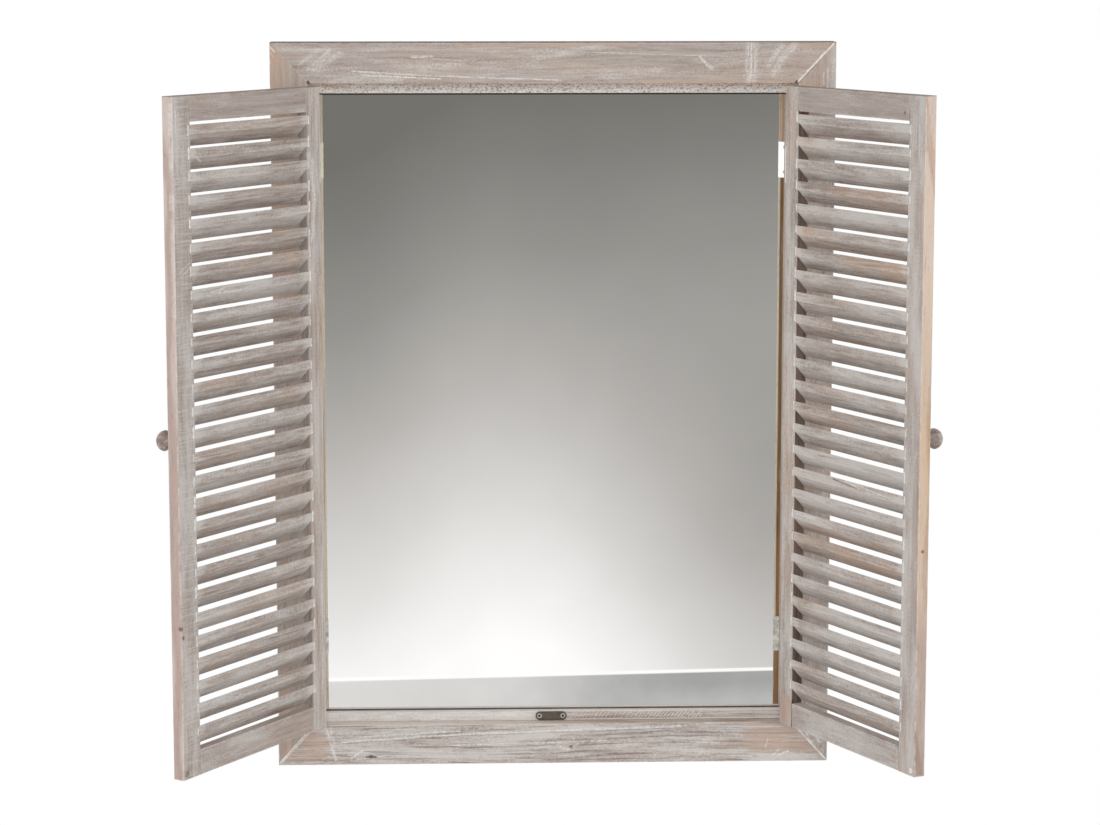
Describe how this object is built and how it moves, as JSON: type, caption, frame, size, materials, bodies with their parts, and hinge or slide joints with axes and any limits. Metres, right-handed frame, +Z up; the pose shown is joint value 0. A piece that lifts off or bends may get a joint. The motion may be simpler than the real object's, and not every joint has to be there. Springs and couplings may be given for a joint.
{
  "type": "shutter mirror",
  "caption": "Wall mirror in a mitred wooden frame, with a pair of louvred shutters on butt hinges that close over the glass.",
  "frame": {"origin": "on the wall plane, at the middle of the top board's back face", "axes": "+X to the right as seen from the front, +Y away from the viewer into the wall, +Z up"},
  "size_m": [0.8186, 0.2851, 0.81],
  "materials": {
    "frame_wood": "brushed pine under a thin white wash, matt",
    "stop_wood": "brushed pine under a heavier white wash, matt",
    "shutter_wood": "brushed pine under a thin white wash, matt",
    "slat_wood": "brushed pine under a thin white wash, matt",
    "knob_wood": "turned wood, grey-brown stain, matt",
    "dowel_wood": "bare beech",
    "mirror": "silvered float glass",
    "backing_board": "brown hardboard",
    "hinge_steel": "bright zinc plate",
    "fixing_steel": "zinc plate",
    "hanger_steel": "zinc plate",
    "strike_steel": "dark grey-brown plated steel",
    "magnet_steel": "nickel plate"
  },
  "bodies": {
    "frame": {"top_board": "frame_wood", "bottom_board": "frame_wood", "left_board": "frame_wood", "right_board": "frame_wood", "mitre_nails": "fixing_steel", "top_stop": "stop_wood", "bottom_stop": "stop_wood", "left_stop": "stop_wood", "right_stop": "stop_wood", "stop_pins": "fixing_steel", "mirror_glass": "mirror", "backing_panel": "backing_board", "backing_screws": "fixing_steel", "left_hanger": "hanger_steel", "right_hanger": "hanger_steel", "hanger_screws": "fixing_steel", "strike_plate": "strike_steel", "strike_screws": "fixing_steel", "left_upper_frame_leaf": "hinge_steel", "left_lower_frame_leaf": "hinge_steel", "right_upper_frame_leaf": "hinge_steel", "right_lower_frame_leaf": "hinge_steel", "left_upper_hinge_pin": "hinge_steel", "left_lower_hinge_pin": "hinge_steel", "right_upper_hinge_pin": "hinge_steel", "right_lower_hinge_pin": "hinge_steel", "frame_leaf_screws": "fixing_steel"},
    "left_shutter": {"left_hinge_stile": "shutter_wood", "left_free_stile": "shutter_wood", "left_top_rail": "shutter_wood", "left_bottom_rail": "shutter_wood", "left_slats": "slat_wood", "left_dowels": "dowel_wood", "left_knob": "knob_wood", "left_magnet": "magnet_steel", "left_upper_shutter_leaf": "hinge_steel", "left_lower_shutter_leaf": "hinge_steel", "left_leaf_screws": "fixing_steel"},
    "right_shutter": {"right_hinge_stile": "shutter_wood", "right_free_stile": "shutter_wood", "right_top_rail": "shutter_wood", "right_bottom_rail": "shutter_wood", "right_slats": "slat_wood", "right_dowels": "dowel_wood", "right_knob": "knob_wood", "right_magnet": "magnet_steel", "right_upper_shutter_leaf": "hinge_steel", "right_lower_shutter_leaf": "hinge_steel", "right_leaf_screws": "fixing_steel"}
  },
  "joints": [
    {"name": "left_shutter_swing", "type": "hinge", "parent": "frame", "child": "left_shutter", "pos_m": [-0.268, -0.0386, -0.382], "axis": [0, 0, -1], "range_deg": [-122, 56]},
    {"name": "right_shutter_swing", "type": "hinge", "parent": "frame", "child": "right_shutter", "pos_m": [0.268, -0.0386, -0.382], "axis": [0, 0, 1], "range_deg": [-116, 62]}
  ]
}
